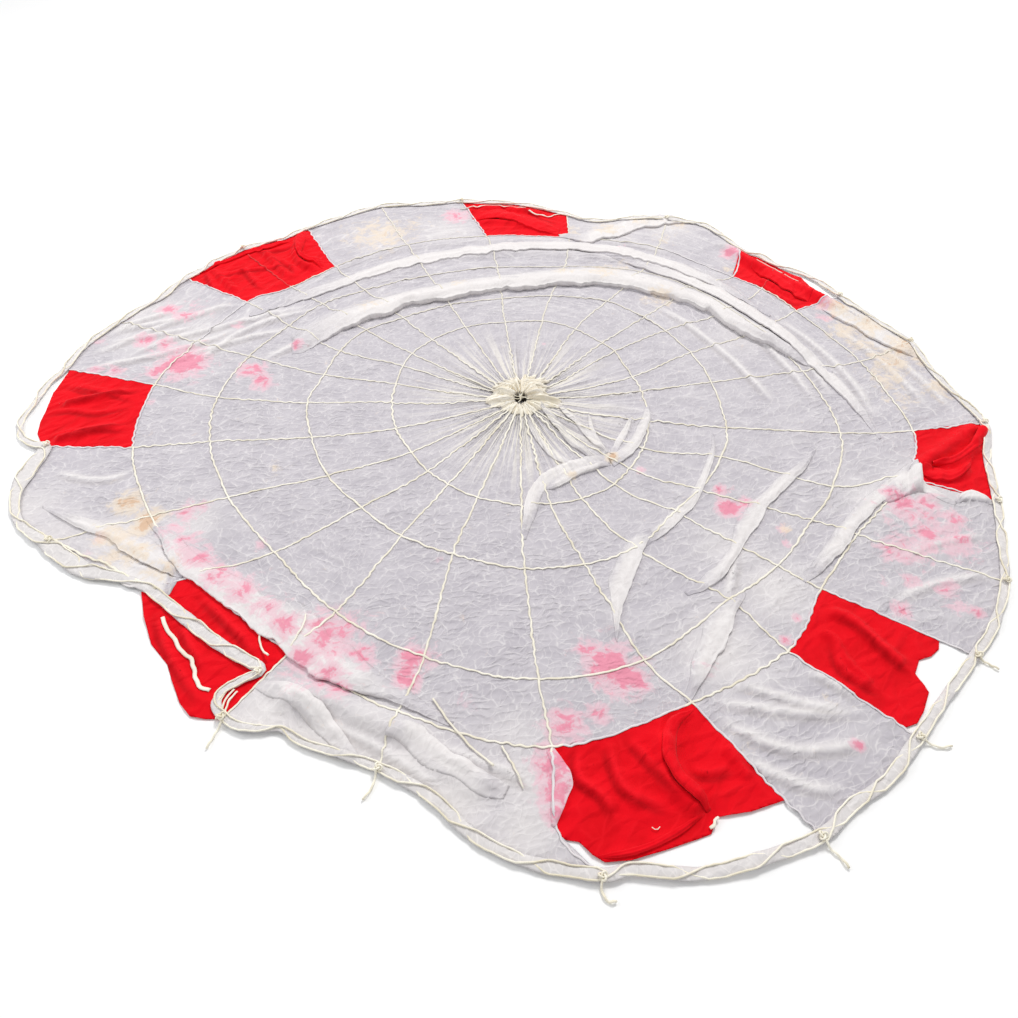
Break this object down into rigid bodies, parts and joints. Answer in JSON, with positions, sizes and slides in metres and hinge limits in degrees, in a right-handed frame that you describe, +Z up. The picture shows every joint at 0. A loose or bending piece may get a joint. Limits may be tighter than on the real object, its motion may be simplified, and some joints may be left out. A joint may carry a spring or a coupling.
{
  "type": "parachute canopy",
  "caption": "Round fabric parachute canopy laid open on the ground: gathered vent, radial and ring tapes, and a skirt of white and red panels along a narrow hem band.",
  "frame": {"origin": "on the ground, under the middle of the canopy's box; the vent is 50 mm to the +X side of it and 24 mm to the +Y side", "axes": "+Z up from the ground, -Y towards the front edge with its cut line stubs, +X to the right when looking from the front"},
  "size_m": [2.9022, 2.8389, 0.0473],
  "materials": {
    "white_cloth": "matte",
    "red_cloth": "matte",
    "cream_tape": "matte",
    "collar_cloth": "matte",
    "band_cloth": "matte",
    "cord": "matte"
  },
  "bodies": {
    "root": {"crown_cloth": "white_cloth", "white_panel_01": "white_cloth", "white_panel_02": "white_cloth", "white_panel_03": "white_cloth", "white_panel_04": "white_cloth", "white_panel_05": "white_cloth", "white_panel_06": "white_cloth", "white_panel_07": "white_cloth", "white_panel_08": "white_cloth", "red_panel_01": "red_cloth", "red_panel_02": "red_cloth", "red_panel_03": "red_cloth", "red_panel_04": "red_cloth", "red_panel_05": "red_cloth", "red_panel_06": "red_cloth", "red_panel_07": "red_cloth", "red_panel_08": "red_cloth", "vent_collar": "collar_cloth", "vent_line_01": "cord", "vent_line_02": "cord", "vent_line_03": "cord", "radial_tape_01": "cream_tape", "radial_tape_02": "cream_tape", "radial_tape_03": "cream_tape", "radial_tape_04": "cream_tape", "radial_tape_05": "cream_tape", "radial_tape_06": "cream_tape", "radial_tape_07": "cream_tape", "radial_tape_08": "cream_tape", "radial_tape_09": "cream_tape", "radial_tape_10": "cream_tape", "radial_tape_11": "cream_tape", "radial_tape_12": "cream_tape", "radial_tape_13": "cream_tape", "radial_tape_14": "cream_tape", "radial_tape_15": "cream_tape", "radial_tape_16": "cream_tape", "radial_tape_17": "cream_tape", "radial_tape_18": "cream_tape", "radial_tape_19": "cream_tape", "radial_tape_20": "cream_tape", "radial_tape_21": "cream_tape", "radial_tape_22": "cream_tape", "radial_tape_23": "cream_tape", "radial_tape_24": "cream_tape", "radial_tape_25": "cream_tape", "ring_tape_A": "cream_tape", "ring_tape_B": "cream_tape", "ring_tape_C": "cream_tape", "ring_tape_D": "cream_tape", "skirt_band": "band_cloth", "red_hem_tape": "cream_tape", "line_stub_01": "cord", "line_stub_02": "cord", "line_stub_03": "cord", "line_stub_04": "cord", "line_stub_05": "cord", "line_stub_06": "cord", "line_stub_07": "cord"}
  },
  "joints": []
}
